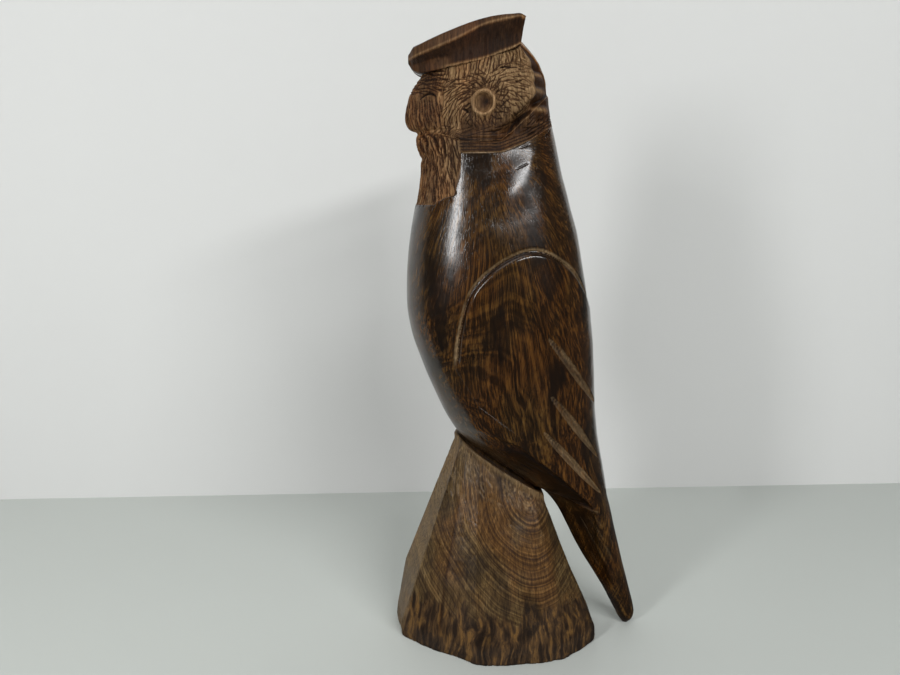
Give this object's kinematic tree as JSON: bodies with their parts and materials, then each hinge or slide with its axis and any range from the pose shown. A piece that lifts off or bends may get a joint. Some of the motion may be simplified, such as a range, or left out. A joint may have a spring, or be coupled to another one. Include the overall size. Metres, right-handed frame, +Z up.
{
  "type": "carved wooden owl figurine",
  "caption": "Carved hardwood owl perched on a faceted stump, with a flat brow and ear tufts, ringed eyes, and gouged feather marks on polished wings.",
  "frame": {"origin": "centre of the whole figurine's plan box, on the table surface under the stump", "axes": "+Z up through the owl, the owl looks along -Y, and its left wing is on +X"},
  "size_m": [0.0788, 0.1319, 0.3095],
  "materials": {
    "polished_wood": "polished dark ironwood with orange-brown figure",
    "carved_wood": "tooled, satin, with lighter tool marks",
    "stump_wood": "semi-gloss chiselled facets with curved growth rings",
    "cut_wood": "raw tan wood in the cuts"
  },
  "bodies": {
    "root": {"stump_base": "stump_wood", "torso": "polished_wood", "tail": "polished_wood", "left_wing": "polished_wood", "right_wing": "polished_wood", "neck_band": "carved_wood", "chest_bib": "carved_wood", "head": "carved_wood", "beak": "carved_wood", "crown": "polished_wood", "left_brow_tuft": "carved_wood", "right_brow_tuft": "carved_wood", "left_eye_ring": "cut_wood", "right_eye_ring": "cut_wood", "left_eye": "carved_wood", "right_eye": "carved_wood"}
  },
  "joints": []
}
